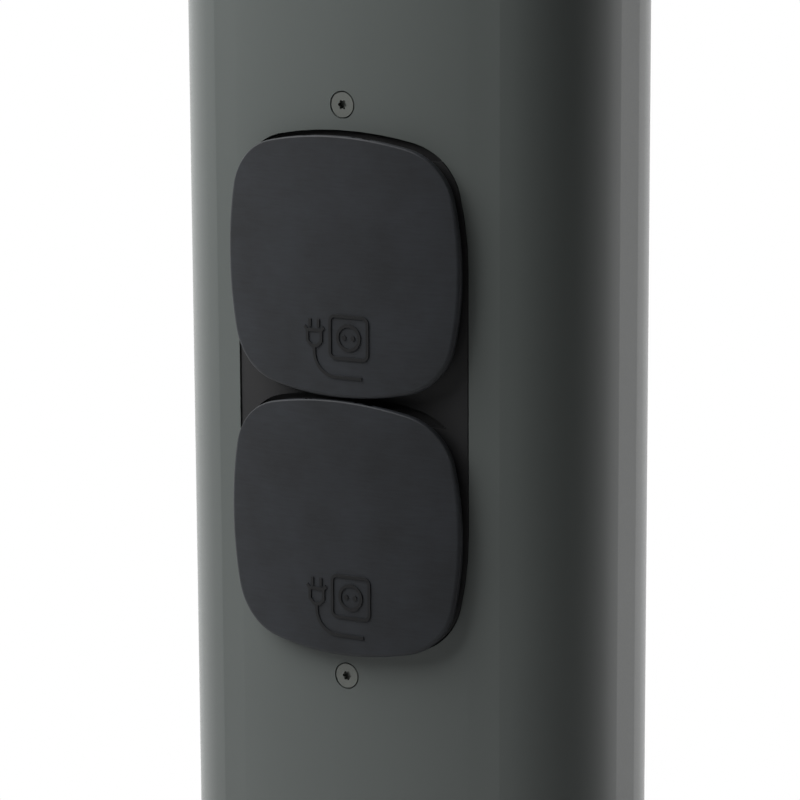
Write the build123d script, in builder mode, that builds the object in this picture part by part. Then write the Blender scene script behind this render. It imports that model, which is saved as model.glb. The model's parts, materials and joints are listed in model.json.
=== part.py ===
from build123d import *
from math import asin, cos, pi, radians, sin, sqrt, tan
import os

# Bollard light with a double socket behind two hinged lids.
# Millimetres, +Z up, the socket face looks along -Y.
# The origin is the middle of the underside of the foot plate.

os.makedirs("parts", exist_ok=True)

# Column: a crowned oval extrusion
total_height = 800
column_width = 130
side_flat = 10.4
corner_radius = 29
crown_radius = 160
wall = 3

# Foot plate
foot_width = 190
foot_depth = 128
foot_thickness = 8
foot_corner = 14
foot_edge = 1
anchor_margin = 15
anchor_hole = 9
cable_hole = 36
cable_hole_gap = 1

# Screw channels inside the column and the screws that cut into them
channel_outer = 9
channel_bore = 4.6
channel_angle = 38
channel_bite = 1
end_screw_length = 24
end_screw_head = 9

# Socket face
face_height = 400
lid_pitch = 71
lid_drop = 0.5
opening_half_width = 35.85
opening_end = 35.7
outline_bow = 95
outline_corner = 17
panel_sunk = 0.3
panel_gap = 0.35
panel_round = 0.3
gasket_thickness = 1
gasket_margin = 1.5
carrier_sheet = 3
carrier_width = 84
carrier_height = 172
carrier_corner = 18
carrier_seat = 12
carrier_screw_spacing = 155.8
carrier_screw = 4
carrier_screw_head = 6.7
carrier_screw_rim = 0.6
carrier_screw_ring = 0.4
carrier_screw_length = 12
carrier_boss = 10
carrier_boss_length = 8

# Lids and their hinges
lid_half_width = 35.85
lid_half_height = 35.1
lid_proud = 4.6
lid_gap = 0.6
lid_top_round = 0.4
lid_rim_round = 1.2
lid_rim_lift = 2
lid_back_share = 0.68
axis_sunk = 2.2
axis_drop = 3
hinge_recess = 2
hinge_recess_drop = 3
hinge_recess_margin = 1
pin_diameter = 1.5
pin_half_length = 12.4
pin_fit = 0.03
pin_clearance = 0.05
ear_inside = 8.2
ear_width = 2
ear_radius = 1.1
ear_gusset = 2.6
hinge_clearance = 0.2
spring_outer = 2.5
spring_inner = 1.7
spring_wire = 0.5
spring_half_length = 6
spring_leg = 4.5
spring_hole = 1
seal_inner = 48
seal_width = 1.6
seal_depth = 1.2
seal_proud = 0.5

# Sign raised on each lid: a plug on its lead beside a round socket
sign_line = 0.85
sign_proud = 0.3
sign_root = 0.5
sign_drop = 18.5
sign_frame = 11.4
sign_frame_corner = 2
sign_frame_x = 4.2
sign_ring = 6.6
sign_dot = 1.3
sign_dot_spacing = 2.7
sign_plug_x = -6.5
sign_plug_width = 4.4
sign_plug_height = 4.2
sign_plug_rise = 1.3
sign_prong_spacing = 2.7
sign_prong_height = 2.2
sign_shoulder = 1.3
sign_wing = 0.9
sign_lead_drop = 1.4
sign_lead_bend = 6.5
sign_lead_end = 8.2

# Round socket with two pin holes and side earth contacts
socket_recess = 39
recess_depth = 17.5
cup_wall = 3
cup_floor = 4
cup_clearance = 0.15
insert_flange = 54
insert_flange_sheet = 3
insert_corner = 6
insert_hub = 34
insert_hub_length = 12
pin_hole = 5.4
pin_hole_spacing = 19
sleeve_outer = 7
sleeve_inner = 5
sleeve_length = 11
clip_width = 6
clip_sheet = 0.8
clip_inset = 1.6
clip_mouth = 4
clip_tip = 1.2
insert_screw = 3
insert_screw_head = 5.5
insert_screw_head_height = 2
insert_screw_length = 9
insert_screw_spacing = 44
cover_wall = 2
cover_depth = 16

# Gear tray with the electrical parts
tray_width = 54
tray_sheet = 2
tray_setback = 9
tray_clearance = 0.2
tray_foot = 22
tray_foot_spacing = 24
tray_stop = 10
rail_grip = 3
rail_lip = 2
tray_screw = 4
tray_screw_head = 7
tray_screw_head_height = 2.6
terminal_height = 96
terminal_width = 44
terminal_depth = 17
terminal_tall = 22
terminal_pole_spacing = 12
terminal_row_spacing = 8
terminal_access = 4
terminal_entry = 8
clamp_height = 52
clamp_width = 38
clamp_depth = 9
clamp_tall = 12
clamp_groove = 11
clamp_screw_spacing = 26
driver_drop = 57
driver_width = 42
driver_depth = 26
driver_tall = 112
driver_tab = 12
driver_tab_sheet = 2.5
driver_corner = 4

# Light head
seal_sheet = 1
seal_inset = 0.5
head_sheet = 4
window_height = 60
window_inset = 12
window_wall = 2.5
cap_height = 20
cap_edge = 3
cap_pocket = 8
cap_rim = 16
board_length = 84
board_width = 34
board_sheet = 1.6
led_size = 3
led_height = 0.8
led_columns = 8
led_rows = 2
led_pitch_x = 10
led_pitch_y = 16
reflector_height = 18
reflector_half_width = 42
reflector_half_depth = 20
reflector_top_half_width = 18
reflector_top_half_depth = 9
lead_hole = 9
rod_diameter = 4
rod_offset = 46
rod_engage = 9
nut_width = 7
nut_height = 3.2

# Wires, drives and small fits
lead_diameter = 4
lead_bend = 14
lead_run = 36
earth_diameter = 2.4
earth_lug = 9
earth_lug_sheet = 0.8
earth_run = 26
wire_side_step = 8
wire_run = 12
bend_share = 0.45
screw_clearance = 0.1
seat_clearance = 0.05
drive_depth = 1.4
drive_core = 0.13
hex_drive = 0.25

# Sizes worked out from the ones above
anchor_spacing_x = foot_width - 2 * anchor_margin
anchor_spacing_y = foot_depth - 2 * anchor_margin
corner_x = column_width / 2 - corner_radius
corner_y = side_flat / 2
crown_reach = sqrt((crown_radius - corner_radius) ** 2 - corner_x**2)
crown_lean = corner_x / (crown_radius - corner_radius)
half_depth = corner_y + crown_radius - crown_reach
front = -half_depth

cap_bottom = total_height - cap_height
window_top = cap_bottom - seal_sheet
window_bottom = window_top - window_height
head_top = window_bottom - seal_sheet
head_bottom = head_top - head_sheet
column_top = head_bottom - seal_sheet
column_bottom = foot_thickness

sockets = {
    "upper": face_height - lid_drop + lid_pitch / 2,
    "lower": face_height - lid_drop - lid_pitch / 2,
}
panel_front = front + panel_sunk
carrier_front = wall + gasket_thickness
carrier_back = carrier_front + carrier_sheet
socket_lead_x = {"upper": terminal_pole_spacing, "lower": -terminal_pole_spacing}
seat_y = front + carrier_seat
boss_y = front + carrier_front + carrier_boss_length
cup_outer = socket_recess + 2 * cup_wall
recess_floor = panel_front + recess_depth
cup_back = recess_floor + cup_floor
hub_back = cup_back + insert_hub_length
cover_back = cup_back + cover_depth

insert_screw_bite = insert_screw_length - insert_flange_sheet

lid_back_offset = lid_gap - panel_sunk
lid_thickness = lid_proud - lid_back_offset
lid_back_round = lid_back_share * lid_thickness
axis_y = front - lid_proud + axis_sunk
axis_rise = lid_half_height - axis_drop
hinge_floor = panel_front + hinge_recess
ear_outside = ear_inside + ear_width
ear_middle = ear_inside + ear_width / 2

tray_y = half_depth - wall - tray_setback
tray_front = tray_y - tray_sheet / 2
tray_face = tray_width - 2 * (rail_grip + 2 * tray_clearance)
tray_top = column_top - tray_stop
tray_foot_y = tray_front - tray_foot / 2
cable_hole_y = tray_front - tray_foot - cable_hole_gap - cable_hole / 2
terminal_y = tray_front - terminal_depth / 2
terminal_top = terminal_height + terminal_tall
terminal_middle = terminal_height + terminal_tall / 2
terminal_screw_spacing = terminal_width - tray_screw_head - rail_lip
clamp_middle = clamp_height + clamp_tall / 2
driver_y = tray_front - driver_tab_sheet - driver_depth / 2
driver_top = head_bottom - driver_drop
driver_bottom = driver_top - driver_tall
driver_middle = driver_top - driver_tall / 2
driver_screw_spacing = driver_tall + driver_tab
board_bottom = cap_bottom + cap_pocket - board_sheet
earth_x = -cable_hole / 2 - 2 * earth_lug
earth_y = -half_depth / 2

# Devices on the tray: their middle's height, their screws' spacing across and up, their depth
device_fixings = {
    "terminal_screws": (terminal_middle, terminal_screw_spacing, 0, terminal_depth),
    "clamp_screws": (clamp_middle, clamp_screw_spacing, 0, clamp_depth),
    "driver_screws": (driver_middle, 0, driver_screw_spacing, driver_tab_sheet),
}


# Shared outlines and pieces


def oval(inset=0.0):
    """Draws the column's section, inset by this much all round: two crowned faces,
    two short flats and four round corners."""
    crown = crown_radius - inset
    corner = corner_radius - inset
    tip = half_depth - inset
    side = column_width / 2 - inset
    join_x = crown * crown_lean
    join_y = tip - crown + crown * crown_reach / (crown_radius - corner_radius)
    middle_angle = (pi / 2 - asin(crown_lean)) / 2
    middle_x = corner_x + corner * cos(middle_angle)
    middle_y = corner_y + corner * sin(middle_angle)
    with BuildSketch() as outline:
        with BuildLine():
            for way in (1, -1):
                ThreePointArc((-join_x, way * join_y), (0, way * tip), (join_x, way * join_y))
                Line((way * side, -corner_y), (way * side, corner_y))
                for hand in (1, -1):
                    ThreePointArc(
                        (hand * join_x, way * join_y),
                        (hand * middle_x, way * middle_y),
                        (hand * side, way * corner_y),
                    )
        make_face()
    return outline.sketch


def soft_square(half_width, half_height, grow=0.0):
    """Draws a square with bowed sides and round corners, grown by this much all round."""
    bow = outline_bow + grow
    corner = outline_corner + grow
    wide = half_width + grow
    tall = half_height + grow
    top_centre = bow - tall
    side_centre = bow - wide
    gap = sqrt(top_centre**2 + side_centre**2)
    reach = sqrt((bow - corner) ** 2 - (gap / 2) ** 2)
    centre_x = -side_centre / 2 + reach * top_centre / gap
    centre_y = -top_centre / 2 + reach * side_centre / gap
    outward = bow / (bow - corner)
    top_x = centre_x * outward
    top_y = (centre_y + top_centre) * outward - top_centre
    side_x = (centre_x + side_centre) * outward - side_centre
    side_y = centre_y * outward
    diagonal = corner / sqrt(2)
    with BuildSketch() as outline:
        with BuildLine():
            for way in (1, -1):
                ThreePointArc((-top_x, way * top_y), (0, way * tall), (top_x, way * top_y))
                ThreePointArc((way * side_x, -side_y), (way * wide, 0), (way * side_x, side_y))
                for hand in (1, -1):
                    ThreePointArc(
                        (hand * top_x, way * top_y),
                        (hand * (centre_x + diagonal), way * (centre_y + diagonal)),
                        (hand * side_x, way * side_y),
                    )
        make_face()
    return outline.sketch


def face_outline(grow=0.0):
    """Draws the tall opening of the socket face, grown by this much all round."""
    with BuildSketch() as outline:
        with Locations((0, lid_pitch / 2), (0, -lid_pitch / 2)):
            add(soft_square(opening_half_width, opening_end, grow))
        Rectangle(2 * (opening_half_width + grow), lid_pitch)
    return outline.sketch


def ring(inner_radius, outer_radius):
    """Draws a flat ring."""
    with BuildSketch() as outline:
        Circle(outer_radius)
        Circle(inner_radius, mode=Mode.SUBTRACT)
    return outline.sketch


def pair(across, upright=0):
    """Two points this far apart, on either side of the middle."""
    return [(-across / 2, -upright / 2), (across / 2, upright / 2)]


def face_plane(y, height=face_height):
    """Plane across the socket face, looking out of it along -Y."""
    return Plane(origin=(0, y, height), x_dir=(1, 0, 0), z_dir=(0, -1, 0))


def prism(sketch, bottom, top):
    """Makes an upright solid of this section."""
    with BuildPart() as solid:
        with BuildSketch(Plane.XY.offset(bottom)):
            add(sketch)
        extrude(amount=top - bottom)
    return solid.part


def band(outer, inner, bottom, top):
    """Makes the wall between two insets of the column's section, from bottom to top."""
    with BuildPart() as wall_band:
        add(prism(oval(outer), bottom, top))
        add(prism(oval(inner), bottom, top), mode=Mode.SUBTRACT)
    return wall_band.part


def front_layer(sketch, outer, inner, height=face_height):
    """Makes the piece of the crowned front, between two insets, that lies in this outline."""
    with BuildPart() as piece:
        with BuildSketch(face_plane(0, height)):
            add(sketch)
        extrude(amount=half_depth + 2 * lid_proud)
        add(
            band(outer, inner, height - carrier_height, height + carrier_height),
            mode=Mode.INTERSECT,
        )
    return piece.part


def flat_head_screw(diameter, head, length, rim=0.0):
    """Makes a countersunk screw with a six-lobed drive, its top at the origin. The rim is
    the height of the straight edge of its head."""
    edge = [(head / 2, 0), (head / 2, -rim)] if rim else [(head / 2, 0)]
    with BuildPart() as screw:
        with BuildSketch(Plane.XZ):
            Polygon(
                (0, 0),
                *edge,
                (diameter / 2, -rim - (head - diameter) / 2),
                (diameter / 2, -length),
                (0, -length),
                align=None,
            )
        revolve(axis=Axis.Z)
        with BuildSketch():
            Circle(head * drive_core)
            with PolarLocations(head * drive_core, 6):
                Circle(head * drive_core / 2)
        extrude(amount=-drive_depth, mode=Mode.SUBTRACT)
    return screw.part


def round_head_screw(diameter, head, head_height, length):
    """Makes a cylinder-head screw with a hexagon drive, its head's underside at the origin."""
    with BuildPart() as screw:
        with BuildSketch():
            Circle(head / 2)
        extrude(amount=head_height)
        with BuildSketch():
            Circle(diameter / 2)
        extrude(amount=-length)
        with BuildSketch(Plane.XY.offset(head_height)):
            RegularPolygon(head * hex_drive, 6)
        extrude(amount=-head_height / 2, mode=Mode.SUBTRACT)
    return screw.part


def wire(points, radii, diameter):
    """Makes a wire along straight runs joined by tangent arcs."""
    with BuildPart() as tube:
        with BuildLine() as path:
            FilletPolyline(*points, radius=radii)
        with BuildSketch(Plane(origin=path.line @ 0, z_dir=path.line % 0)):
            Circle(diameter / 2)
        sweep(path=path.line)
    return tube.part


def save(piece, name):
    """Labels a finished piece and writes it."""
    piece.label = name
    export_step(piece, f"parts/{name}.step")


# Foot plate, with anchor holes in its corners and a hole for the buried cable
channel_reach = corner_radius - wall - channel_outer / 2 + channel_bite
channel_x = corner_x + channel_reach * cos(radians(channel_angle))
channel_y = corner_y + channel_reach * sin(radians(channel_angle))
channel_points = [(x, y) for x in (-channel_x, channel_x) for y in (-channel_y, channel_y)]
tray_foot_points = [(x, tray_foot_y) for x in (-tray_foot_spacing / 2, tray_foot_spacing / 2)]
with BuildPart() as foot_plate:
    with BuildSketch():
        RectangleRounded(foot_width, foot_depth, foot_corner)
        with GridLocations(anchor_spacing_x, anchor_spacing_y, 2, 2):
            Circle(anchor_hole / 2, mode=Mode.SUBTRACT)
        with Locations((0, cable_hole_y)):
            Circle(cable_hole / 2, mode=Mode.SUBTRACT)
    extrude(amount=foot_thickness)
    chamfer(foot_plate.faces().sort_by(Axis.Z)[-1].outer_wire().edges(), foot_edge)
    for x, y in channel_points:
        with Locations(Location((x, y, 0), (180, 0, 0))):
            CounterSinkHole(
                channel_bore / 2 + screw_clearance,
                end_screw_head / 2 + screw_clearance,
                counter_sink_angle=90,
            )
    for x, y in [*tray_foot_points, (earth_x, earth_y)]:
        with Locations((x, y, foot_thickness)):
            Hole(tray_screw / 2 + seat_clearance, depth=foot_thickness - foot_edge)
save(foot_plate.part, "foot_plate")

# Screws up through the foot plate into the column's channels
end_screw = flat_head_screw(channel_bore - 2 * seat_clearance, end_screw_head, end_screw_length)
with BuildPart() as foot_screws:
    for x, y in channel_points:
        with Locations(Location((x, y, seat_clearance), (180, 0, 0))):
            add(end_screw)
save(foot_screws.part, "foot_screws")

# Column: wall, four screw channels and two rails for the gear tray
rail_width = rail_grip + tray_clearance + rail_lip
rail_middle = tray_width / 2 - rail_grip + rail_width / 2
rail_front = tray_front - tray_clearance - rail_lip
with BuildSketch() as column_ribs:
    with Locations((-rail_middle, rail_front), (rail_middle, rail_front)):
        Rectangle(rail_width, half_depth - rail_front, align=(Align.CENTER, Align.MIN))
    with Locations(*channel_points):
        Circle(channel_outer / 2)
    add(oval(wall / 2), mode=Mode.INTERSECT)
with BuildPart() as column:
    with BuildSketch(Plane.XY.offset(column_bottom)):
        add(oval())
        add(oval(wall), mode=Mode.SUBTRACT)
        add(column_ribs.sketch)
        with Locations(*channel_points):
            Circle(channel_bore / 2, mode=Mode.SUBTRACT)
        with Locations((0, tray_y)):
            Rectangle(
                tray_width + 2 * tray_clearance,
                tray_sheet + 2 * tray_clearance,
                mode=Mode.SUBTRACT,
            )
    extrude(amount=column_top - column_bottom)
    with BuildSketch(face_plane(0)):
        add(face_outline())
    extrude(amount=column_width, mode=Mode.SUBTRACT)
    for way in (1, -1):
        screw_place = face_plane(front, face_height + way * carrier_screw_spacing / 2)
        with Locations(screw_place.offset(-carrier_screw_rim)):
            CounterSinkHole(
                carrier_screw / 2 + screw_clearance,
                carrier_screw_head / 2 + 2 * screw_clearance,
                depth=2 * wall,
                counter_sink_angle=90,
            )
        with Locations(screw_place):
            Hole(carrier_screw_head / 2 + carrier_screw_ring, depth=carrier_screw_rim)
save(column.part, "column")

# Socket carrier: the panel seen in the opening, a sheet behind the column's wall,
# a flat seat for each socket, two screw bosses and the hinge ears
with BuildPart() as panel:
    add(front_layer(face_outline(-panel_gap), panel_sunk, carrier_back))
    fillet(panel.faces().sort_by(Axis.Y)[0].outer_wire().edges(), panel_round)
with BuildSketch() as carrier_outline:
    RectangleRounded(carrier_width, carrier_height, carrier_corner)
with BuildSketch() as hinge_zone:
    add(soft_square(lid_half_width, lid_half_height, hinge_recess_margin))
    with Locations((0, axis_rise - hinge_recess_drop)):
        Rectangle(
            2 * column_width, column_width, align=(Align.CENTER, Align.MAX), mode=Mode.SUBTRACT
        )
carrier_screw_points = pair(0, carrier_screw_spacing)
socket_points = [(0, height - face_height) for height in sockets.values()]
insert_screw_points = pair(insert_screw_spacing, insert_screw_spacing)
with BuildPart() as socket_carrier:
    with BuildSketch(face_plane(seat_y)):
        with Locations(*socket_points):
            RectangleRounded(insert_flange, insert_flange, insert_corner)
    extrude(amount=carrier_seat)
    with BuildSketch(face_plane(boss_y)):
        with Locations(*carrier_screw_points):
            Circle(carrier_boss / 2)
    extrude(amount=carrier_boss_length)
    add(
        prism(oval(carrier_front), face_height - carrier_height, face_height + carrier_height),
        mode=Mode.INTERSECT,
    )
    add(front_layer(carrier_outline.sketch, carrier_front, carrier_back))
    add(panel.part)
    with BuildSketch(face_plane(0)):
        with Locations(*socket_points):
            Circle(cup_outer / 2 + cup_clearance)
    extrude(amount=column_width, mode=Mode.SUBTRACT)
    with BuildSketch(face_plane(boss_y)):
        with Locations(*carrier_screw_points):
            Circle(carrier_screw / 2 + seat_clearance)
    extrude(amount=carrier_screw_length, mode=Mode.SUBTRACT)
    for height in sockets.values():
        recess = front_layer(hinge_zone.sketch, -panel_sunk, panel_sunk + hinge_recess, height)
        add(recess, mode=Mode.SUBTRACT)
        groove = ring(seal_inner / 2 - seat_clearance, seal_inner / 2 + seal_width + seat_clearance)
        add(front_layer(groove, 0, panel_sunk + seal_depth, height), mode=Mode.SUBTRACT)
        with Locations(face_plane(seat_y, height)):
            with Locations(*insert_screw_points):
                Hole(insert_screw / 2 + seat_clearance, depth=insert_screw_bite)
        for x in (-ear_outside, ear_inside):
            with BuildSketch(Plane.YZ.offset(x)):
                with Locations((axis_y, height + axis_rise)):
                    Circle(ear_radius)
                with Locations((axis_y, height + axis_rise + ear_radius)):
                    Rectangle(
                        hinge_floor + panel_round - axis_y,
                        ear_radius + ear_gusset,
                        align=(Align.MIN, Align.MAX),
                    )
                with Locations((axis_y, height + axis_rise)):
                    Circle(pin_diameter / 2 + pin_fit, mode=Mode.SUBTRACT)
            extrude(amount=ear_width)
        with BuildSketch(face_plane(hinge_floor + spring_hole, height + axis_rise)):
            with Locations((spring_half_length - spring_wire, (spring_outer - spring_wire) / 2)):
                Circle(spring_wire / 2 + seat_clearance)
        extrude(amount=spring_hole, mode=Mode.SUBTRACT)
save(socket_carrier.part, "socket_carrier")

# Gasket between the column's wall and the carrier
with BuildSketch() as gasket_outline:
    add(carrier_outline.sketch)
    add(face_outline(gasket_margin), mode=Mode.SUBTRACT)
    with Locations(*carrier_screw_points):
        Circle(carrier_screw / 2 + 2 * screw_clearance, mode=Mode.SUBTRACT)
gasket = front_layer(gasket_outline.sketch, wall + seat_clearance, carrier_front - seat_clearance)
save(gasket, "carrier_gasket")

# The two screws seen on the face
face_screw = flat_head_screw(
    carrier_screw, carrier_screw_head, carrier_screw_length, carrier_screw_rim
)
with BuildPart() as carrier_screws:
    for x, rise in carrier_screw_points:
        with Locations(face_plane(front + 2 * seat_clearance, face_height + rise)):
            add(face_screw)
save(carrier_screws.part, "carrier_screws")


# Sockets


def socket_insert(height):
    """Makes the round socket: a cup with a crowned rim, a flange and a hub behind its floor."""
    with BuildPart() as insert:
        with BuildSketch(face_plane(cup_back, height)):
            Circle(cup_outer / 2)
        extrude(amount=cup_back - front + lid_proud)
        with BuildSketch(face_plane(seat_y + insert_flange_sheet, height)):
            RectangleRounded(insert_flange, insert_flange, insert_corner)
        extrude(amount=insert_flange_sheet)
        with BuildSketch(face_plane(hub_back, height)):
            Circle(insert_hub / 2)
        extrude(amount=insert_hub_length)
        add(
            prism(oval(panel_sunk), height - insert_flange, height + insert_flange),
            mode=Mode.INTERSECT,
        )
        with BuildSketch(face_plane(recess_floor, height)):
            Circle(socket_recess / 2)
        extrude(amount=2 * recess_depth, mode=Mode.SUBTRACT)
        with BuildSketch(face_plane(hub_back, height)):
            with Locations(*pair(pin_hole_spacing)):
                Circle(pin_hole / 2)
        extrude(amount=hub_back - recess_floor, mode=Mode.SUBTRACT)
        with BuildSketch(face_plane(hub_back, height)):
            with Locations(*pair(pin_hole_spacing)):
                Circle(sleeve_outer / 2 + screw_clearance)
        extrude(amount=insert_hub_length, mode=Mode.SUBTRACT)
        with BuildSketch(face_plane(cup_back, height)):
            with Locations(*pair(0, socket_recess - 2 * clip_inset + clip_sheet)):
                Rectangle(clip_width + 4 * screw_clearance, clip_sheet + 4 * screw_clearance)
        extrude(amount=cup_floor, mode=Mode.SUBTRACT)
        with Locations(face_plane(seat_y, height)):
            with Locations(*insert_screw_points):
                Hole(insert_screw / 2 + screw_clearance)
    return insert.part


def contact_sleeves(height):
    """Makes the two contact sleeves in the hub, open towards the plug."""
    with BuildPart() as sleeves:
        with BuildSketch(face_plane(hub_back, height)):
            with Locations(*pair(pin_hole_spacing)):
                Circle(sleeve_outer / 2)
        extrude(amount=insert_hub_length)
        with BuildSketch(face_plane(cup_back, height)):
            with Locations(*pair(pin_hole_spacing)):
                Circle(sleeve_inner / 2)
        extrude(amount=-sleeve_length, mode=Mode.SUBTRACT)
    return sleeves.part


def earth_clip(height):
    """Makes the earth clip: two legs along the recess, joined behind the hub."""
    leg_middle = socket_recess / 2 - clip_inset + clip_sheet / 2
    leg_front = panel_front + clip_mouth
    with BuildPart() as clip:
        with BuildSketch(face_plane(hub_back + clip_sheet, height)):
            with Locations(*pair(0, 2 * leg_middle)):
                Rectangle(clip_width, clip_sheet)
        extrude(amount=hub_back + clip_sheet - leg_front)
        with BuildSketch(face_plane(hub_back + clip_sheet, height)):
            Rectangle(clip_width, 2 * leg_middle)
        extrude(amount=clip_sheet)
        with BuildSketch(face_plane(leg_front + clip_sheet, height)):
            with Locations(*pair(0, 2 * leg_middle - clip_tip)):
                Rectangle(clip_width, clip_tip + clip_sheet)
        extrude(amount=clip_sheet)
    return clip.part


def rear_cover(height, lead_x):
    """Makes the cup that closes the back of a socket, with a hole for its lead."""
    with BuildPart() as cover:
        with BuildSketch(face_plane(cover_back, height)):
            Circle(cup_outer / 2)
        extrude(amount=cover_depth)
        with BuildSketch(face_plane(cover_back - cover_wall, height)):
            Circle(cup_outer / 2 - cover_wall)
        extrude(amount=cover_depth, mode=Mode.SUBTRACT)
        with Locations(face_plane(cover_back, height)):
            with Locations((lead_x, 0)):
                Hole(lead_diameter / 2 + screw_clearance, depth=2 * cover_wall)
    return cover.part


for name, height in sockets.items():
    save(socket_insert(height), f"socket_insert_{name}")
    save(contact_sleeves(height), f"contact_sleeves_{name}")
    save(earth_clip(height), f"earth_clip_{name}")
    save(rear_cover(height, socket_lead_x[name]), f"rear_cover_{name}")

insert_screw_piece = round_head_screw(
    insert_screw, insert_screw_head, insert_screw_head_height, insert_screw_length
)
with BuildPart() as socket_screws:
    for height in sockets.values():
        back_plane = Plane(
            origin=(0, seat_y + insert_flange_sheet, height), x_dir=(1, 0, 0), z_dir=(0, 1, 0)
        )
        with Locations(back_plane):
            with Locations(*[(x, -z) for x, z in insert_screw_points]):
                add(insert_screw_piece)
save(socket_screws.part, "socket_screws")


# Lids, hinges and seals


def lid_sign():
    """Draws the sign's ridges: a socket in its frame, and a plug with its lead."""
    plug_top = sign_plug_rise
    plug_bottom = plug_top - sign_plug_height
    plug_left = sign_plug_x - sign_plug_width / 2
    plug_right = sign_plug_x + sign_plug_width / 2
    lead_start = plug_bottom - sign_lead_drop
    lead_bottom = lead_start - sign_lead_bend
    lead_turn = sign_plug_x + sign_lead_bend
    with BuildSketch() as sign:
        with Locations((sign_frame_x, 0)):
            RectangleRounded(sign_frame + sign_line, sign_frame + sign_line, sign_frame_corner)
            RectangleRounded(
                sign_frame - sign_line,
                sign_frame - sign_line,
                sign_frame_corner - sign_line,
                mode=Mode.SUBTRACT,
            )
            add(ring((sign_ring - sign_line) / 2, (sign_ring + sign_line) / 2))
            with Locations(*pair(sign_dot_spacing)):
                Circle(sign_dot / 2)
        with BuildLine():
            Polyline(
                (plug_left - sign_wing, plug_top + sign_wing),
                (plug_left, plug_top),
                (plug_left, plug_bottom + sign_shoulder),
                (plug_left + sign_shoulder, plug_bottom),
                (plug_right - sign_shoulder, plug_bottom),
                (plug_right, plug_bottom + sign_shoulder),
                (plug_right, plug_top),
                (plug_right + sign_wing, plug_top + sign_wing),
            )
        trace(line_width=sign_line)
        with BuildLine():
            Line((sign_plug_x, plug_bottom), (sign_plug_x, lead_start))
            RadiusArc((sign_plug_x, lead_start), (lead_turn, lead_bottom), -sign_lead_bend)
            Line((lead_turn, lead_bottom), (sign_lead_end, lead_bottom))
        trace(line_width=sign_line)
        with Locations((sign_plug_x, plug_top)):
            Rectangle(sign_plug_width, sign_line)
        with Locations((sign_plug_x, plug_top + sign_line)):
            with Locations(*pair(sign_prong_spacing)):
                Rectangle(sign_line, sign_prong_height, align=(Align.CENTER, Align.MIN))
    return sign.sketch


def lid_rim():
    """Draws the outline whose rounding softens a lid's rim, drawn up past its crisp top edge."""
    with BuildSketch() as outline:
        with Locations((0, 0), (0, lid_rim_lift)):
            add(soft_square(lid_half_width, lid_half_height))
        with Locations((0, lid_rim_lift / 2)):
            Rectangle(2 * lid_half_width, lid_rim_lift)
    return outline.sketch


def lid(height):
    """Makes a lid: a crowned soft square, hollowed behind its top edge for the hinge."""
    axis_z = height + axis_rise
    pocket_front = axis_y - ear_radius - hinge_clearance
    spring_pocket = spring_outer / 2 + hinge_clearance
    with BuildPart() as rim:
        add(front_layer(lid_rim(), -lid_proud, wall, height))
        fillet(rim.faces().sort_by(Axis.Y)[0].outer_wire().edges(), lid_rim_round)
    with BuildPart() as flap:
        add(
            front_layer(
                soft_square(lid_half_width, lid_half_height), -lid_proud, -lid_back_offset, height
            )
        )
        fillet(flap.faces().sort_by(Axis.Y)[0].outer_wire().edges(), lid_top_round)
        fillet(flap.faces().sort_by(Axis.Y)[-1].outer_wire().edges(), lid_back_round)
        add(rim.part, mode=Mode.INTERSECT)
        for x in (-ear_middle, ear_middle):
            with BuildSketch(Plane.YZ.offset(x)):
                with Locations((pocket_front, axis_z - ear_gusset - hinge_clearance)):
                    Rectangle(2 * lid_proud, 2 * lid_proud, align=(Align.MIN, Align.MIN))
            extrude(amount=ear_width / 2 + hinge_clearance, both=True, mode=Mode.SUBTRACT)
        with BuildSketch(Plane.YZ):
            with Locations((axis_y - spring_pocket, axis_z + spring_pocket)):
                Rectangle(2 * lid_proud, 2 * spring_pocket, align=(Align.MIN, Align.MAX))
        extrude(amount=spring_half_length + hinge_clearance, both=True, mode=Mode.SUBTRACT)
        with BuildSketch(Plane.YZ.offset(spring_half_length - spring_wire)):
            with Locations((axis_y - spring_pocket, axis_z - spring_pocket)):
                Rectangle(2 * lid_proud, 2 * lid_proud, align=(Align.MIN, Align.MIN))
        extrude(amount=spring_wire / 2 + hinge_clearance, both=True, mode=Mode.SUBTRACT)
        with BuildSketch(Plane.YZ):
            with Locations((axis_y, axis_z)):
                Circle(pin_diameter / 2 + pin_clearance)
        extrude(amount=pin_half_length + hinge_clearance, both=True, mode=Mode.SUBTRACT)
        leg_y = axis_y - (spring_outer - spring_wire) / 2
        with BuildSketch(Plane.XY.offset(axis_z)):
            with Locations((spring_wire - spring_half_length, leg_y)):
                Circle(spring_wire / 2 + seat_clearance)
        extrude(amount=-spring_leg - hinge_clearance, mode=Mode.SUBTRACT)
        add(
            front_layer(
                lid_sign(), -lid_proud - sign_proud, sign_root - lid_proud, height - sign_drop
            )
        )
    return flap.part


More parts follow.
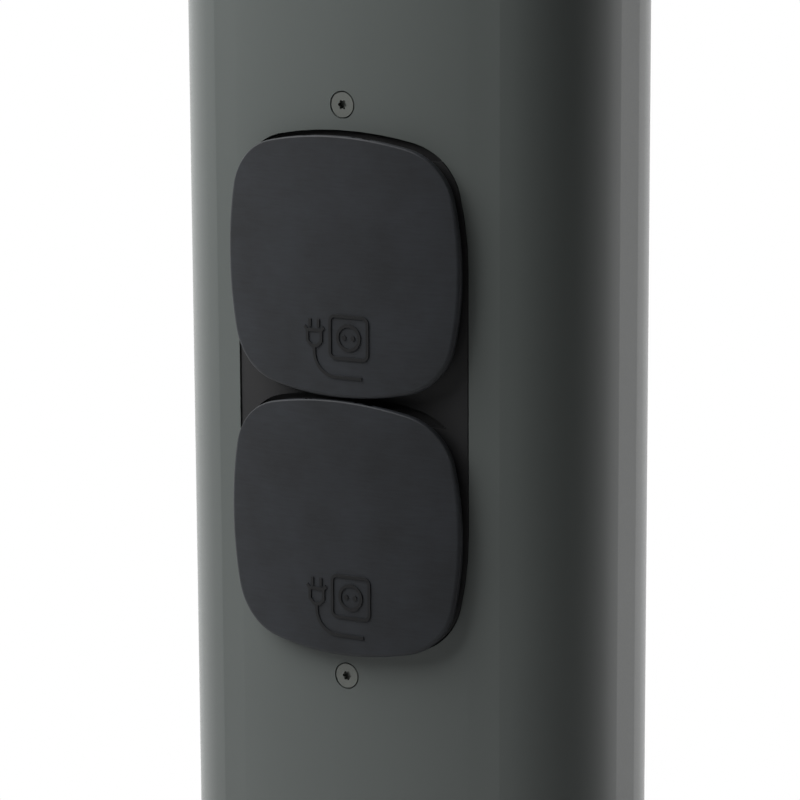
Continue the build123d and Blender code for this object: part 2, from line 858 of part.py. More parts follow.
def lid_spring(height):
    """Makes the closing spring as a sleeve with its two legs: one in the panel, one in the lid."""
    axis_z = height + axis_rise
    leg_turn = (spring_outer - spring_wire) / 2
    leg_x = spring_half_length - spring_wire
    with BuildPart() as spring:
        with BuildSketch(Plane.YZ):
            with Locations((axis_y, axis_z)):
                Circle(spring_outer / 2)
        extrude(amount=spring_half_length, both=True)
        with BuildSketch(Plane.XZ.offset(-axis_y)):
            with Locations((leg_x, axis_z + leg_turn)):
                Circle(spring_wire / 2)
        extrude(amount=axis_y - hinge_floor - spring_hole / 2)
        with BuildSketch(Plane.XY.offset(axis_z)):
            with Locations((-leg_x, axis_y - leg_turn)):
                Circle(spring_wire / 2)
        extrude(amount=-spring_leg)
        with BuildSketch(Plane.YZ):
            with Locations((axis_y, axis_z)):
                Circle(spring_inner / 2)
        extrude(amount=spring_half_length, both=True, mode=Mode.SUBTRACT)
    return spring.part


def hinge_pin(height):
    """Makes the steel pin of a lid's hinge."""
    with BuildPart() as pin:
        with BuildSketch(Plane.YZ):
            with Locations((axis_y, height + axis_rise)):
                Circle(pin_diameter / 2)
        extrude(amount=pin_half_length, both=True)
    return pin.part


for name, height in sockets.items():
    save(lid(height), f"lid_{name}")
    save(lid_spring(height), f"lid_spring_{name}")
    save(hinge_pin(height), f"hinge_pin_{name}")
    seal_outline = ring(seal_inner / 2, seal_inner / 2 + seal_width)
    seal = front_layer(seal_outline, panel_sunk - seal_proud, panel_sunk + seal_depth, height)
    save(seal, f"lid_seal_{name}")

# Gear tray: a sheet in the column's rails with a foot on the foot plate
with BuildPart() as gear_tray:
    with BuildSketch(Plane.XY.offset(column_bottom)):
        with Locations((0, tray_y)):
            Rectangle(tray_width, tray_sheet)
    extrude(amount=tray_top - column_bottom)
    with BuildSketch(Plane.XY.offset(column_bottom)):
        with Locations((0, tray_foot_y)):
            Rectangle(tray_face, tray_foot)
    extrude(amount=tray_sheet)
    for middle, across, upright, depth in device_fixings.values():
        with Locations(face_plane(tray_y, middle)):
            with Locations(*pair(across, upright)):
                Hole(tray_screw / 2 + seat_clearance)
    for x, y in tray_foot_points:
        with Locations((x, y, column_bottom)):
            Hole(tray_screw / 2 + screw_clearance)
save(gear_tray.part, "gear_tray")

# Screws that hold the tray's foot, the terminal block, the cable clamp and the driver
tray_screw_length = foot_thickness + tray_sheet - 2 * foot_edge
tray_foot_screw = round_head_screw(
    tray_screw, tray_screw_head, tray_screw_head_height, tray_screw_length
)
with BuildPart() as tray_screws:
    for x, y in tray_foot_points:
        with Locations((x, y, column_bottom + tray_sheet)):
            add(tray_foot_screw)
save(tray_screws.part, "tray_screws")

# Terminal block with three poles, wire entries above and below
with BuildPart() as terminal_block:
    with BuildSketch(face_plane(tray_front, terminal_middle)):
        RectangleRounded(terminal_width, terminal_tall, rail_lip)
    extrude(amount=terminal_depth)
    with Locations(face_plane(tray_front - terminal_depth, terminal_middle)):
        with Locations(*pair(terminal_screw_spacing)):
            Hole(tray_screw / 2 + screw_clearance)
        with GridLocations(terminal_pole_spacing, terminal_row_spacing, 3, 2):
            Hole(lead_diameter / 2, depth=terminal_access)
    for z in (terminal_height, terminal_top):
        with Locations((0, terminal_y, z)):
            with GridLocations(terminal_pole_spacing, 0, 3, 1):
                Hole(lead_diameter / 2 + screw_clearance, depth=terminal_entry)
save(terminal_block.part, "terminal_block")

# Clamp that holds the buried cable against the tray
with BuildPart() as cable_clamp:
    with BuildSketch(face_plane(tray_front, clamp_middle)):
        RectangleRounded(clamp_width, clamp_tall, rail_lip)
    extrude(amount=clamp_depth)
    with BuildSketch(Plane.XY.offset(clamp_height)):
        with Locations((0, tray_front)):
            Circle(clamp_groove / 2)
    extrude(amount=clamp_tall, mode=Mode.SUBTRACT)
    with Locations(face_plane(tray_front - clamp_depth, clamp_middle)):
        with Locations(*pair(clamp_screw_spacing)):
            Hole(tray_screw / 2 + screw_clearance)
save(cable_clamp.part, "cable_clamp")

# Driver of the light on a base plate with a screw tab at each end
with BuildPart() as led_driver:
    with BuildSketch(face_plane(tray_front, driver_middle)):
        Rectangle(driver_width, driver_tall + 2 * driver_tab)
    extrude(amount=driver_tab_sheet)
    with BuildSketch(face_plane(tray_front - driver_tab_sheet, driver_middle)):
        RectangleRounded(driver_width, driver_tall, driver_corner)
    extrude(amount=driver_depth)
    with Locations(face_plane(tray_front - driver_tab_sheet, driver_middle)):
        with Locations(*pair(0, driver_screw_spacing)):
            Hole(tray_screw / 2 + screw_clearance, depth=driver_tab_sheet)
save(led_driver.part, "led_driver")

for name, (middle, across, upright, depth) in device_fixings.items():
    device_screw = round_head_screw(
        tray_screw, tray_screw_head, tray_screw_head_height, depth + 2 * tray_sheet
    )
    with BuildPart() as device_screws:
        with Locations(face_plane(tray_front - depth, middle)):
            with Locations(*pair(across, upright)):
                add(device_screw)
    save(device_screws.part, name)

# Earth lug on the foot plate, under its own screw
lug_reach = 2 * earth_lug
earth_wire_x = earth_x + lug_reach - earth_lug
with BuildPart() as earth_terminal:
    with BuildSketch(Plane.XY.offset(foot_thickness)):
        with Locations((earth_x + earth_lug / 2, earth_y)):
            SlotOverall(lug_reach, earth_lug)
        with Locations((earth_x, earth_y)):
            Circle(tray_screw / 2 + screw_clearance, mode=Mode.SUBTRACT)
    extrude(amount=earth_lug_sheet)
    with Locations((earth_x, earth_y, foot_thickness + earth_lug_sheet)):
        add(
            round_head_screw(
                tray_screw,
                tray_screw_head,
                tray_screw_head_height,
                foot_thickness + earth_lug_sheet - 2 * foot_edge,
            )
        )
save(earth_terminal.part, "earth_terminal")


# Light head


def flat_seal(outer, inner, bottom):
    """Makes a flat rubber seal that follows the column's section."""
    return band(outer, inner, bottom, bottom + seal_sheet)


save(flat_seal(seal_inset, wall, column_top), "column_seal")
window_inside = window_inset + window_wall
save(flat_seal(window_inset, window_inside, head_top), "window_seal_lower")
save(flat_seal(window_inset, window_inside, window_top), "window_seal_upper")

# Opal window between the head plate and the cap
save(band(window_inset, window_inside, window_bottom, window_top), "window")

# Head plate, screwed down into the column's channels
rod_points = pair(2 * rod_offset)
with BuildPart() as head_plate:
    add(prism(oval(), head_bottom, head_top))
    for x, y in channel_points:
        with Locations((x, y, head_top)):
            CounterSinkHole(
                channel_bore / 2 + screw_clearance,
                end_screw_head / 2 + screw_clearance,
                counter_sink_angle=90,
            )
    with Locations((0, 0, head_top)):
        Hole(lead_hole / 2)
        with Locations(*rod_points):
            Hole(rod_diameter / 2 + screw_clearance)
save(head_plate.part, "head_plate")

with BuildPart() as head_screws:
    for x, y in channel_points:
        with Locations((x, y, head_top - seat_clearance)):
            add(end_screw)
save(head_screws.part, "head_screws")

# Reflector: a white cone that throws the light out through the window
with BuildPart() as reflector:
    with BuildSketch(Plane.XY.offset(head_top)):
        Ellipse(reflector_half_width, reflector_half_depth)
    with BuildSketch(Plane.XY.offset(head_top + reflector_height)):
        Ellipse(reflector_top_half_width, reflector_top_half_depth)
    loft(ruled=True)
    with Locations((0, 0, head_top)):
        Hole(lead_hole / 2)
save(reflector.part, "reflector")

# Cap with a pocket for the board and two blind holes for the rods
rod_end = cap_bottom + cap_pocket + rod_engage
with BuildPart() as top_cap:
    add(prism(oval(), cap_bottom, total_height))
    fillet(top_cap.faces().sort_by(Axis.Z)[-1].outer_wire().edges(), cap_edge)
    add(prism(oval(cap_rim), cap_bottom, cap_bottom + cap_pocket), mode=Mode.SUBTRACT)
    with Locations((0, 0, cap_bottom + cap_pocket)):
        with Locations(*rod_points):
            Hole(rod_diameter / 2 + seat_clearance, depth=rod_engage)
save(top_cap.part, "top_cap")

# Board under the cap with its light sources facing down
with BuildPart() as led_board:
    with BuildSketch(Plane.XY.offset(board_bottom)):
        RectangleRounded(board_length, board_width, rail_lip)
    extrude(amount=board_sheet)
save(led_board.part, "led_board")

with BuildPart() as leds:
    with BuildSketch(Plane.XY.offset(board_bottom)):
        with GridLocations(led_pitch_x, led_pitch_y, led_columns, led_rows):
            Rectangle(led_size, led_size)
    extrude(amount=-led_height)
save(leds.part, "leds")

# Two rods tie the cap to the head plate, with a nut below the plate
with BuildPart() as tie_rods:
    with BuildSketch(Plane.XY.offset(head_bottom - nut_height - seal_sheet)):
        with Locations(*rod_points):
            Circle(rod_diameter / 2)
    extrude(amount=rod_end - head_bottom + nut_height + seal_sheet)
save(tie_rods.part, "tie_rods")

with BuildPart() as tie_nuts:
    with BuildSketch(Plane.XY.offset(head_bottom - nut_height)):
        with Locations(*rod_points):
            RegularPolygon(nut_width / 2, 6, major_radius=False)
        with Locations(*rod_points):
            Circle(rod_diameter / 2 + seat_clearance, mode=Mode.SUBTRACT)
    extrude(amount=nut_height)
save(tie_nuts.part, "tie_nuts")


# Wires inside the column


def stepped_wire(start, end, first_run, last_run, diameter):
    """Makes a wire that leaves and arrives upright, with a slanted run between."""
    low = Vector(*start) + Vector(0, 0, first_run)
    high = Vector(*end) - Vector(0, 0, last_run)
    slant = high - low
    half_turn = radians(slant.get_angle(Vector(0, 0, first_run)) / 2)
    radii = [
        bend_share * min(abs(run), slant.length) / tan(half_turn) for run in (first_run, last_run)
    ]
    return wire([Vector(*start), low, high, Vector(*end)], radii, diameter)


# Leads from the terminal block into the sockets' covers, with their ends clear of the hub
lead_start = terminal_top - terminal_entry
lead_end = hub_back + cover_wall
with BuildPart() as socket_leads:
    for name, height in sockets.items():
        x = socket_lead_x[name]
        route = [(x, terminal_y, lead_start), (x, terminal_y, height), (x, lead_end, height)]
        add(wire(route, [lead_bend], lead_diameter))
save(socket_leads.part, "socket_leads")

# Lead from the terminal block to the driver
driver_lead = stepped_wire(
    (0, terminal_y, lead_start),
    (-wire_side_step, driver_y, driver_bottom),
    driver_bottom - 2 * lead_run - lead_start,
    lead_run,
    lead_diameter,
)
save(driver_lead, "driver_lead")

# Lead from the driver up through the head plate to the board
led_lead = stepped_wire(
    (0, driver_y, driver_top),
    (0, 0, board_bottom),
    wire_run,
    board_bottom - head_bottom + wire_run,
    lead_diameter,
)
save(led_lead, "led_lead")

# Earth wire from the terminal block to the lug
earth_lead = stepped_wire(
    (-terminal_pole_spacing, terminal_y, terminal_height + terminal_entry),
    (earth_wire_x, earth_y, foot_thickness + earth_lug_sheet),
    -terminal_entry - wire_run,
    -earth_run,
    earth_diameter,
)
save(earth_lead, "earth_lead")
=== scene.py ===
# %% [markdown]
# # A bollard light with two lidded sockets
#
# The real object is a slim outdoor bollard: an oval aluminium column with a powder coat, two
# square rubber lids over its sockets, and a lit band under a flat cap. The solids come packed
# from CAD, and they have the real shapes already, so no piece is added to them or moved. This
# script gives each solid its finish and sets up the camera, the light and the floor.

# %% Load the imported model
import json
import math

import bpy
import bmesh
from mathutils import Matrix, Vector

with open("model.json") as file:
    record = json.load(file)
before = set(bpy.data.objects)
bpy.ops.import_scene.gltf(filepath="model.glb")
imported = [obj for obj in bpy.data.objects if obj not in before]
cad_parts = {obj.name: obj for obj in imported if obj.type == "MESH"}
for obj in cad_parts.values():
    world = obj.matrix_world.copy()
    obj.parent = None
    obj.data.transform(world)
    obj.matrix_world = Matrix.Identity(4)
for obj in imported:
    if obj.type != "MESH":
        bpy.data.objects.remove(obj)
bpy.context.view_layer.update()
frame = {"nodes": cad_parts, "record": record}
nodes = frame["nodes"]

# %% [markdown]
# ## Camera
#
# The camera stands where the photograph was taken: a little to the right of the socket face,
# above the lids and looking slightly down through a long lens. A long lens far away keeps the
# column's edges almost parallel, as they are in the photograph.

# %% Camera
camera_place = Vector((0.50055, -0.86119, 0.59348))
camera_azimuth = math.radians(30.456)
camera_pitch = math.radians(11.456)
camera_roll = math.radians(-0.289)
camera_lens = 165.05
camera_sensor = 36
camera_reach = 50

forward = Vector(
    (
        -math.sin(camera_azimuth) * math.cos(camera_pitch),
        math.cos(camera_azimuth) * math.cos(camera_pitch),
        -math.sin(camera_pitch),
    )
)
level_right = Vector((math.cos(camera_azimuth), math.sin(camera_azimuth), 0))
level_up = level_right.cross(forward)
right = level_right * math.cos(camera_roll) + level_up * math.sin(camera_roll)
up = level_up * math.cos(camera_roll) - level_right * math.sin(camera_roll)
camera_turn = Matrix((right, up, -forward)).transposed().to_4x4()

camera_data = bpy.data.cameras.new("photo_camera")
camera_data.lens = camera_lens
camera_data.sensor_width = camera_sensor
camera_data.clip_end = camera_reach
camera = bpy.data.objects.new("photo_camera", camera_data)
camera.matrix_world = Matrix.Translation(camera_place) @ camera_turn
bpy.context.collection.objects.link(camera)
bpy.context.scene.camera = camera
print("camera distance:", round(camera_place.length, 3))

# %% [markdown]
# ## Helpers for finishes
#
# Colours are read off in the usual web notation, and Blender's shaders work in linear light, so
# one function turns the one into the other. A second one adds a node to a material with its
# settings and its links, so that each finish below reads as a short list of what it is made of.
# A third starts a material with one principled shader, which every finish here is based on.
#
# The Mix node has sockets for numbers, vectors and colours that share their names, so its
# colour sockets are reached by their index.

# %% Helpers for finishes
millimetre = 0.001
first_colour = 6
second_colour = 7
mixed_colour = 2


def linear(code):
    """Turns a hex sRGB colour into linear red, green, blue and alpha."""
    parts = [int(code[i : i + 2], 16) / 255 for i in (1, 3, 5)]
    return [p / 12.92 if p <= 0.04045 else ((p + 0.055) / 1.055) ** 2.4 for p in parts] + [1]


def add_node(tree, kind, inputs=None, **settings):
    """Adds a node: its settings first, then a value or a link for each named input."""
    node = tree.nodes.new(kind)
    for name, value in settings.items():
        setattr(node, name, value)
    for socket, value in (inputs or {}).items():
        if isinstance(value, bpy.types.NodeSocket):
            tree.links.new(value, node.inputs[socket])
        else:
            node.inputs[socket].default_value = value
    return node


def start_material(name, color, roughness, metallic=0.0, ior=1.5):
    """Makes a material with one principled shader; returns it, its tree and the shader."""
    material = bpy.data.materials.new(name)
    material.use_nodes = True
    tree = material.node_tree
    shader = tree.nodes["Principled BSDF"]
    shader.inputs["Base Color"].default_value = linear(color)
    shader.inputs["Roughness"].default_value = roughness
    shader.inputs["Metallic"].default_value = metallic
    shader.inputs["IOR"].default_value = ior
    return material, tree, shader


print("mid grey in linear light:", round(linear("#808080")[0], 3))

# %% [markdown]
# ## Powder coat of the column
#
# The column is an aluminium extrusion sprayed with anthracite polyester powder and baked. The
# melted powder leaves a satin skin with a grain of a few tenths of a millimetre, which breaks
# up every reflection. A very low bump and a faint change of roughness give that, on top of an
# even colour that drifts a little over the height of a hand.

# %% Powder coat
coat_grain = 0.45 * millimetre
coat_cloud = 60 * millimetre
coat_relief = 0.03 * millimetre
coat_bump = 0.12
coat_roughness = (0.36, 0.44)
coat_dark = "#5A5F5D"
coat_pale = "#5E6361"

powder_coat, tree, shader = start_material("anthracite_powder_coat", "#5C615F", 0.46)
place = add_node(tree, "ShaderNodeTexCoord").outputs["Object"]
grain = add_node(
    tree,
    "ShaderNodeTexNoise",
    {"Vector": place, "Scale": 1 / coat_grain, "Detail": 2.0, "Roughness": 0.6},
).outputs["Fac"]
cloud = add_node(
    tree, "ShaderNodeTexNoise", {"Vector": place, "Scale": 1 / coat_cloud, "Detail": 3.0}
).outputs["Fac"]
shade = add_node(
    tree,
    "ShaderNodeMix",
    {"Factor": cloud, first_colour: linear(coat_dark), second_colour: linear(coat_pale)},
    data_type="RGBA",
).outputs[mixed_colour]
tree.links.new(shade, shader.inputs["Base Color"])
satin = add_node(
    tree,
    "ShaderNodeMapRange",
    {
        "Value": grain,
        "From Min": 0.3,
        "From Max": 0.7,
        "To Min": coat_roughness[0],
        "To Max": coat_roughness[1],
    },
).outputs["Result"]
tree.links.new(satin, shader.inputs["Roughness"])
skin = add_node(
    tree, "ShaderNodeBump", {"Height": grain, "Strength": coat_bump, "Distance": coat_relief}
).outputs["Normal"]
tree.links.new(skin, shader.inputs["Normal"])
print("powder coat nodes:", len(tree.nodes))

# %% [markdown]
# ## Rubber of the lids
#
# The lids are moulded in black thermoplastic rubber against an eroded steel tool. Such a surface
# is matte with a fine grain, and handling leaves paler and darker clouds and short level streaks
# on it. The grain goes into the bump, clouds and streaks go into the colour, and the roughness
# is high all over.
#
# The sign on each lid is raised in the CAD solid. Its colour is darker than the face round it as
# painted shade: the thin ridges get the darkness of their shadowed walls and of the shadows they
# cast beside them. The face is part of a large upright cylinder, so whatever lies farther from
# its axis than the face does belongs to the sign. Distance from that axis picks the painted
# shade.

# %% Lid rubber
rubber_grain = 0.5 * millimetre
rubber_cloud = 16 * millimetre
rubber_relief = 0.05 * millimetre
rubber_bump = 0.3
rubber_dark = "#1D1F22"
rubber_pale = "#292C31"
rubber_specular = 0.4
streak_size = 0.7 * millimetre
streak_stretch = 9
streak_in_colour = 0.4
streak_in_relief = 0.35
# painted shade: the sign's colour is darkened to stand in for its ridges' shadowed walls and cast
# shadows
sign_painted_shade_colour = "#101113"
sign_half_height = 0.15 * millimetre
crown_centre = Vector((0, 0.1207563, 0))
lid_face_radius = 0.1646

lid_rubber, tree, shader = start_material("moulded_lid_rubber", rubber_dark, 0.6)
place = add_node(tree, "ShaderNodeTexCoord").outputs["Object"]
grain = add_node(
    tree,
    "ShaderNodeTexNoise",
    {"Vector": place, "Scale": 1 / rubber_grain, "Detail": 3.0, "Roughness": 0.65},
).outputs["Fac"]
cloud = add_node(
    tree,
    "ShaderNodeTexNoise",
    {"Vector": place, "Scale": 1 / rubber_cloud, "Detail": 4.0, "Roughness": 0.6},
).outputs["Fac"]
drawn_out = add_node(
    tree, "ShaderNodeVectorMath", {0: place, 1: (1, 1, streak_stretch)}, operation="MULTIPLY"
).outputs["Vector"]
streak = add_node(
    tree,
    "ShaderNodeTexNoise",
    {
        "Vector": drawn_out,
        "Scale": 1 / (streak_stretch * streak_size),
        "Detail": 4.0,
        "Roughness": 0.7,
    },
).outputs["Fac"]
mottle = add_node(
    tree, "ShaderNodeMix", {"Factor": streak_in_colour, "A": cloud, "B": streak}
).outputs["Result"]
mottle = add_node(
    tree, "ShaderNodeMapRange", {"Value": mottle, "From Min": 0.35, "From Max": 0.65}
).outputs["Result"]
shade = add_node(
    tree,
    "ShaderNodeMix",
    {"Factor": mottle, first_colour: linear(rubber_dark), second_colour: linear(rubber_pale)},
    data_type="RGBA",
).outputs[mixed_colour]

# %% Sign on the lids, with painted shade
from_centre = add_node(
    tree, "ShaderNodeVectorMath", {0: place, 1: crown_centre}, operation="SUBTRACT"
).outputs["Vector"]
level_only = add_node(
    tree, "ShaderNodeVectorMath", {0: from_centre, 1: (1, 1, 0)}, operation="MULTIPLY"
).outputs["Vector"]
radius = add_node(
    tree, "ShaderNodeVectorMath", {0: level_only}, operation="LENGTH"
).outputs["Value"]
# painted shade: the raised sign gets the darker colour that stands in for its ridges' shadows
painted_shade_on_sign = add_node(
    tree,
    "ShaderNodeMath",
    {0: radius, 1: lid_face_radius + sign_half_height},
    operation="GREATER_THAN",
).outputs["Value"]
colour = add_node(
    tree,
    "ShaderNodeMix",
    {"Factor": painted_shade_on_sign, first_colour: shade, second_colour: linear(sign_painted_shade_colour)},
    data_type="RGBA",
).outputs[mixed_colour]
tree.links.new(colour, shader.inputs["Base Color"])
shader.inputs["Specular IOR Level"].default_value = rubber_specular
relief = add_node(
    tree, "ShaderNodeMix", {"Factor": streak_in_relief, "A": grain, "B": streak}
).outputs["Result"]
skin = add_node(
    tree, "ShaderNodeBump", {"Height": relief, "Strength": rubber_bump, "Distance": rubber_relief}
).outputs["Normal"]
tree.links.new(skin, shader.inputs["Normal"])
print("lid rubber nodes:", len(tree.nodes))

# %% [markdown]
# ## Plain finishes
#
# The other finishes are plain: moulded plastics, steel, brass, rubber seals and sheathed wires.
# Each has its own fine grain at its own size, so that none of them is one flat colour when the
# lids stand open or the bollard is seen close up. They differ in numbers alone, so one loop
# makes them all from a table.

# %% Plain finishes
plain_bump = 0.3
plain_finishes = {
    # name: first colour, second colour, roughness, metallic, grain in mm, bump in mm
    "black_nylon_panel": ("#141416", "#1A1A1C", 0.6, 0.0, 0.6, 0.03),
    "black_socket_plastic": ("#1B1B1D", "#202022", 0.42, 0.0, 0.5, 0.02),
    "black_seal_rubber": ("#151515", "#1B1B1B", 0.7, 0.0, 0.8, 0.03),
    "satin_screw_steel": ("#747773", "#80837F", 0.45, 0.6, 0.3, 0.01),
    "stainless_steel": ("#A9A9A6", "#B8B8B5", 0.32, 1.0, 0.4, 0.01),
    "spring_wire_steel": ("#8E8E8C", "#9D9D9B", 0.3, 1.0, 0.3, 0.01),
    "contact_brass": ("#C39A52", "#D0AA66", 0.3, 1.0, 0.5, 0.01),
    "grey_polycarbonate": ("#8D8F90", "#959798", 0.45, 0.0, 0.8, 0.02),
    "zinc_plated_sheet": ("#A4A8AC", "#B4B8BB", 0.4, 0.9, 6.0, 0.01),
    "white_driver_case": ("#DDDDD8", "#E3E3DE", 0.35, 0.0, 1.0, 0.01),
    "white_reflector_paint": ("#E2E2DD", "#E8E8E3", 0.55, 0.0, 0.5, 0.01),
    "white_solder_mask": ("#DFE3DF", "#E6EAE6", 0.3, 0.0, 1.0, 0.01),
    "yellow_phosphor": ("#D9B845", "#E2C45A", 0.25, 0.0, 0.3, 0.01),
    "black_lead_sheath": ("#1A1A1A", "#202020", 0.5, 0.0, 1.0, 0.02),
    "green_earth_sheath": ("#3F7A2A", "#4C8A33", 0.45, 0.0, 1.0, 0.02),
}
finishes = {"anthracite_powder_coat": powder_coat, "moulded_lid_rubber": lid_rubber}
for name, (dark, pale, roughness, metallic, grain_size, height) in plain_finishes.items():
    material, tree, shader = start_material(name, dark, roughness, metallic)
    place = add_node(tree, "ShaderNodeTexCoord").outputs["Object"]
    grain = add_node(
        tree,
        "ShaderNodeTexNoise",
        {"Vector": place, "Scale": 1 / (grain_size * millimetre), "Detail": 3.0},
    ).outputs["Fac"]
    shade = add_node(
        tree,
        "ShaderNodeMix",
        {"Factor": grain, first_colour: linear(dark), second_colour: linear(pale)},
        data_type="RGBA",
    ).outputs[mixed_colour]
    tree.links.new(shade, shader.inputs["Base Color"])
    skin = add_node(
        tree,
        "ShaderNodeBump",
        {"Height": grain, "Strength": plain_bump, "Distance": height * millimetre},
    ).outputs["Normal"]
    tree.links.new(skin, shader.inputs["Normal"])
    finishes[name] = material
print("plain finishes:", len(plain_finishes))

# %% [markdown]
# ## Opal window
#
# The lit band is a ring of opal polycarbonate: milky all through, with a smooth satin face.
# Light that enters it comes out somewhere else, so a little subsurface scattering softens its
# shading and a low roughness keeps a gentle highlight.

# %% Opal window
opal_haze = 9 * millimetre
opal_thin = "#E6E6DF"
opal_thick = "#ECECE6"
opal_scatter_share = 0.4
opal_scatter_reach = (6 * millimetre, 6 * millimetre, 5 * millimetre)

opal, tree, shader = start_material("opal_polycarbonate", "#E9E9E2", 0.3, ior=1.58)
place = add_node(tree, "ShaderNodeTexCoord").outputs["Object"]
haze = add_node(
    tree, "ShaderNodeTexNoise", {"Vector": place, "Scale": 1 / opal_haze, "Detail": 2.0}
).outputs["Fac"]
shade = add_node(
    tree,
    "ShaderNodeMix",
    {"Factor": haze, first_colour: linear(opal_thin), second_colour: linear(opal_thick)},
    data_type="RGBA",
).outputs[mixed_colour]
tree.links.new(shade, shader.inputs["Base Color"])
shader.inputs["Subsurface Weight"].default_value = opal_scatter_share
shader.inputs["Subsurface Radius"].default_value = opal_scatter_reach
shader.inputs["Subsurface Scale"].default_value = 1.0
finishes["opal_polycarbonate"] = opal
print("finishes in all:", len(finishes))

# %% [markdown]
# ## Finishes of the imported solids
#
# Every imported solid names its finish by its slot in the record. This list says which material
# stands for each slot.

# %% Give each solid its finish
slot_finish = {
    "column_coat": "anthracite_powder_coat",
    "lid_rubber": "moulded_lid_rubber",
    "panel_plastic": "black_nylon_panel",
    "socket_plastic": "black_socket_plastic",
    "seal_rubber": "black_seal_rubber",
    "face_screw_steel": "satin_screw_steel",
    "screw_steel": "stainless_steel",
    "spring_steel": "spring_wire_steel",
    "contact_brass": "contact_brass",
    "cover_plastic": "grey_polycarbonate",
    "tray_steel": "zinc_plated_sheet",
    "driver_case": "white_driver_case",
    "window_opal": "opal_polycarbonate",
    "reflector_white": "white_reflector_paint",
    "board_laminate": "white_solder_mask",
    "light_sources": "yellow_phosphor",
    "lead_sheath": "black_lead_sheath",
    "earth_sheath": "green_earth_sheath",
}
for row in frame["record"]["subparts"]:
    mesh = nodes[row["node"]].data
    mesh.materials.clear()
    mesh.materials.append(finishes[slot_finish[row["material_slot"]]])

# %% [markdown]
# ## Backdrop and lamp
#
# The photograph has a white background and one large soft light, up on the left. The world is
# white where the camera sees it. Reflections see the same white only towards the back, where
# the backdrop stands, turned a little to the right. So the coat gets a narrow pale rim along
# its left side and a broader one along its right side, and stays dark where it faces the dim
# room.

# %% World
world = bpy.data.worlds.new("studio")
bpy.context.scene.world = world
world.use_nodes = True
tree = world.node_tree
tree.nodes.clear()
room_level = 0.03
backdrop_turn = math.radians(15)
backdrop_edge = (-0.35, 0.8)
backdrop_level = 1.8
white = (1, 1, 1, 1)

backdrop_azimuth = camera_azimuth - backdrop_turn
away = Vector((-math.sin(backdrop_azimuth), math.cos(backdrop_azimuth), 0))
ray = add_node(tree, "ShaderNodeLightPath")
direction = add_node(tree, "ShaderNodeTexCoord").outputs["Generated"]
towards_back = add_node(
    tree, "ShaderNodeVectorMath", {0: direction, 1: away}, operation="DOT_PRODUCT"
).outputs["Value"]
backdrop = add_node(
    tree,
    "ShaderNodeMapRange",
    {
        "Value": towards_back,
        "From Min": backdrop_edge[0],
        "From Max": backdrop_edge[1],
        "To Min": room_level,
        "To Max": backdrop_level,
    },
).outputs["Result"]
glossy_share = add_node(
    tree,
    "ShaderNodeMath",
    {0: ray.outputs["Is Glossy Ray"], 1: ray.outputs["Is Transmission Ray"]},
    operation="MAXIMUM",
).outputs["Value"]
seen_in_gloss = add_node(
    tree, "ShaderNodeMix", {"Factor": glossy_share, "A": room_level, "B": backdrop}
).outputs["Result"]
level = add_node(
    tree, "ShaderNodeMix", {"Factor": ray.outputs["Is Camera Ray"], "A": seen_in_gloss, "B": 1.0}
).outputs["Result"]
background = add_node(
    tree, "ShaderNodeBackground", {"Color": white, "Strength": level}
).outputs["Background"]
add_node(tree, "ShaderNodeOutputWorld", {"Surface": background})
print("backdrop faces:", [round(part, 3) for part in away])

# %% Lamp
lamp_target = Vector((0, -0.02, 0.42))
lamp_azimuth = math.radians(-52)
lamp_elevation = math.radians(46)
lamp_distance = 0.95
lamp_size = 0.9
lamp_watts = 14.8

towards_lamp = Vector(
    (
        math.sin(lamp_azimuth) * math.cos(lamp_elevation),
        -math.cos(lamp_azimuth) * math.cos(lamp_elevation),
        math.sin(lamp_elevation),
    )
)
lamp_data = bpy.data.lights.new("key_softbox", "AREA")
lamp_data.shape = "RECTANGLE"
lamp_data.size = lamp_size
lamp_data.size_y = lamp_size
lamp_data.energy = lamp_watts
lamp = bpy.data.objects.new("key_softbox", lamp_data)
lamp.location = lamp_target + towards_lamp * lamp_distance
lamp.rotation_euler = (-towards_lamp).to_track_quat("-Z", "Y").to_euler()
bpy.context.collection.objects.link(lamp)
print("lamp stands at:", [round(part, 3) for part in lamp.location])

# %% [markdown]
# ## Floor
#
# The floor is pale and matte, so the bollard casts a soft shadow round its foot. Farther out it
# fades into the white background, so no horizon shows. The coat mirrors the floor along both
# sides of the column, and there it has to see white behind the bollard and dark in front of it,
# as it does in the world. So the floor glows for glossy rays as the backdrop does.

# %% Floor
floor_size = 12
floor_fade = (0.35, 0.8)
mesh = bpy.data.meshes.new("floor")
shape = bmesh.new()
bmesh.ops.create_grid(shape, x_segments=1, y_segments=1, size=floor_size / 2)
shape.to_mesh(mesh)
shape.free()
floor = bpy.data.objects.new("floor", mesh)
bpy.context.collection.objects.link(floor)

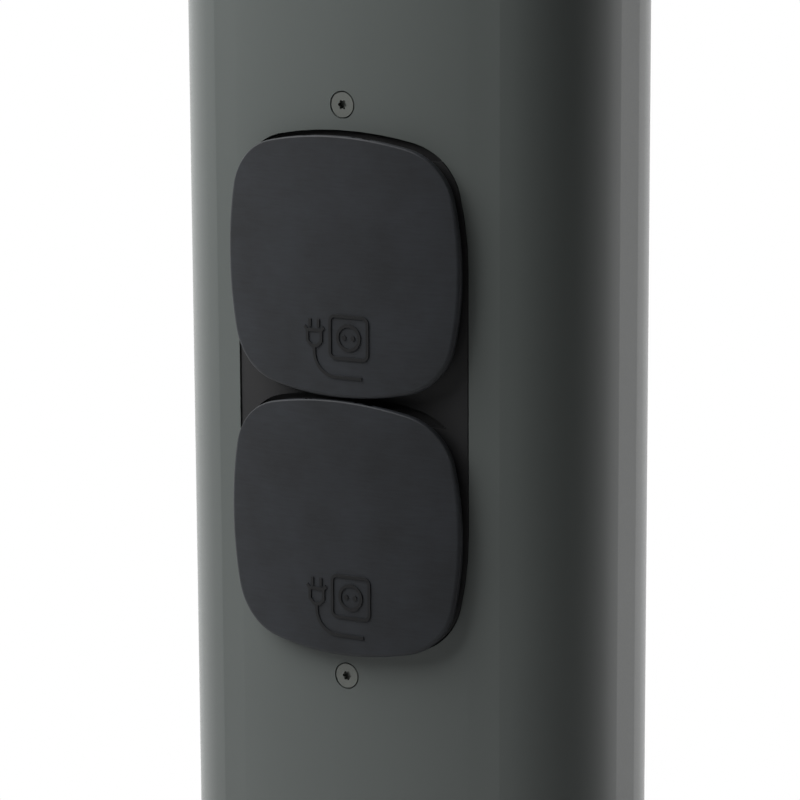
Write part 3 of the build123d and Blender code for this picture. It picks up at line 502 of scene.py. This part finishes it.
pale_floor = bpy.data.materials.new("pale_floor")
pale_floor.use_nodes = True
tree = pale_floor.node_tree
tree.nodes.clear()
place = add_node(tree, "ShaderNodeTexCoord").outputs["Object"]
reach = add_node(tree, "ShaderNodeVectorMath", {0: place}, operation="LENGTH").outputs["Value"]
fade = add_node(
    tree,
    "ShaderNodeMapRange",
    {"Value": reach, "From Min": floor_fade[0], "From Max": floor_fade[1]},
).outputs["Result"]
ray = add_node(tree, "ShaderNodeLightPath")
seen_directly = add_node(
    tree,
    "ShaderNodeMath",
    {0: ray.outputs["Is Camera Ray"], 1: ray.outputs["Is Transmission Ray"]},
    operation="MAXIMUM",
).outputs["Value"]
outward = add_node(
    tree, "ShaderNodeVectorMath", {0: place}, operation="NORMALIZE"
).outputs["Vector"]
towards_back = add_node(
    tree, "ShaderNodeVectorMath", {0: outward, 1: away}, operation="DOT_PRODUCT"
).outputs["Value"]
behind = add_node(
    tree,
    "ShaderNodeMapRange",
    {"Value": towards_back, "From Min": backdrop_edge[0], "From Max": backdrop_edge[1]},
).outputs["Result"]
mirrored = add_node(
    tree, "ShaderNodeMath", {0: behind, 1: ray.outputs["Is Glossy Ray"]}, operation="MULTIPLY"
).outputs["Value"]
seen_white = add_node(
    tree, "ShaderNodeMath", {0: seen_directly, 1: mirrored}, operation="MAXIMUM"
).outputs["Value"]
share = add_node(
    tree, "ShaderNodeMath", {0: fade, 1: seen_white}, operation="MULTIPLY"
).outputs["Value"]
glow = add_node(
    tree,
    "ShaderNodeMix",
    {"Factor": ray.outputs["Is Glossy Ray"], "A": 1.0, "B": backdrop_level},
).outputs["Result"]
matte = add_node(tree, "ShaderNodeBsdfDiffuse", {"Color": linear("#F4F4F4")}).outputs["BSDF"]
glowing = add_node(
    tree, "ShaderNodeEmission", {"Color": white, "Strength": glow}
).outputs["Emission"]
mixed = add_node(
    tree, "ShaderNodeMixShader", {"Fac": share, 1: matte, 2: glowing}
).outputs["Shader"]
add_node(tree, "ShaderNodeOutputMaterial", {"Surface": mixed})
mesh.materials.append(pale_floor)
print("floor fades out from", floor_fade[0], "to", floor_fade[1], "m")

# %% [markdown]
# ## Finish
#
# The Standard view shows each colour as it is written.

# %% Finish
bpy.context.scene.view_settings.view_transform = "Standard"
